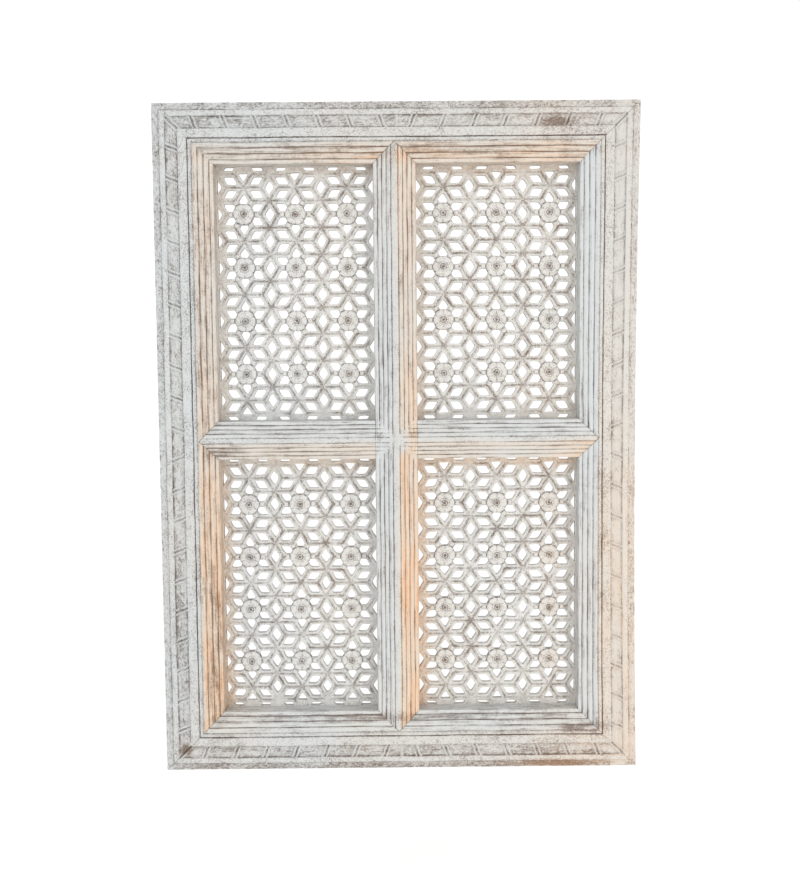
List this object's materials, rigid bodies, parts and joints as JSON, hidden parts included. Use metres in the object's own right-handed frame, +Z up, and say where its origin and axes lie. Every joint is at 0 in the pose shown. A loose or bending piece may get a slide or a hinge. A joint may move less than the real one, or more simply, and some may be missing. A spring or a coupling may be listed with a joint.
{
  "type": "carved wall panel",
  "caption": "Window-shaped wooden wall panel: a mitred, reeded border and a cross hold pierced star-lattice panes with carved flowers.",
  "frame": {"origin": "centre of the flat back, on the mullion, where the panel lies against a wall", "axes": "+Z up the panel's height, +Y out of the back into the wall, +X to the viewer's right; the carved front faces -Y"},
  "size_m": [0.86, 0.058, 1.2],
  "materials": {
    "washed_border": "distressed whitewash over brown wood, matt",
    "washed_cross": "distressed whitewash over brown wood, matt",
    "washed_lattice": "thicker whitewash, matt, brown in the cuts"
  },
  "bodies": {
    "root": {"border_top": "washed_border", "border_bottom": "washed_border", "border_left": "washed_border", "border_right": "washed_border", "mullion": "washed_cross", "rail_left": "washed_cross", "rail_right": "washed_cross", "lattice_upper_left": "washed_lattice", "lattice_upper_right": "washed_lattice", "lattice_lower_left": "washed_lattice", "lattice_lower_right": "washed_lattice"}
  },
  "joints": []
}
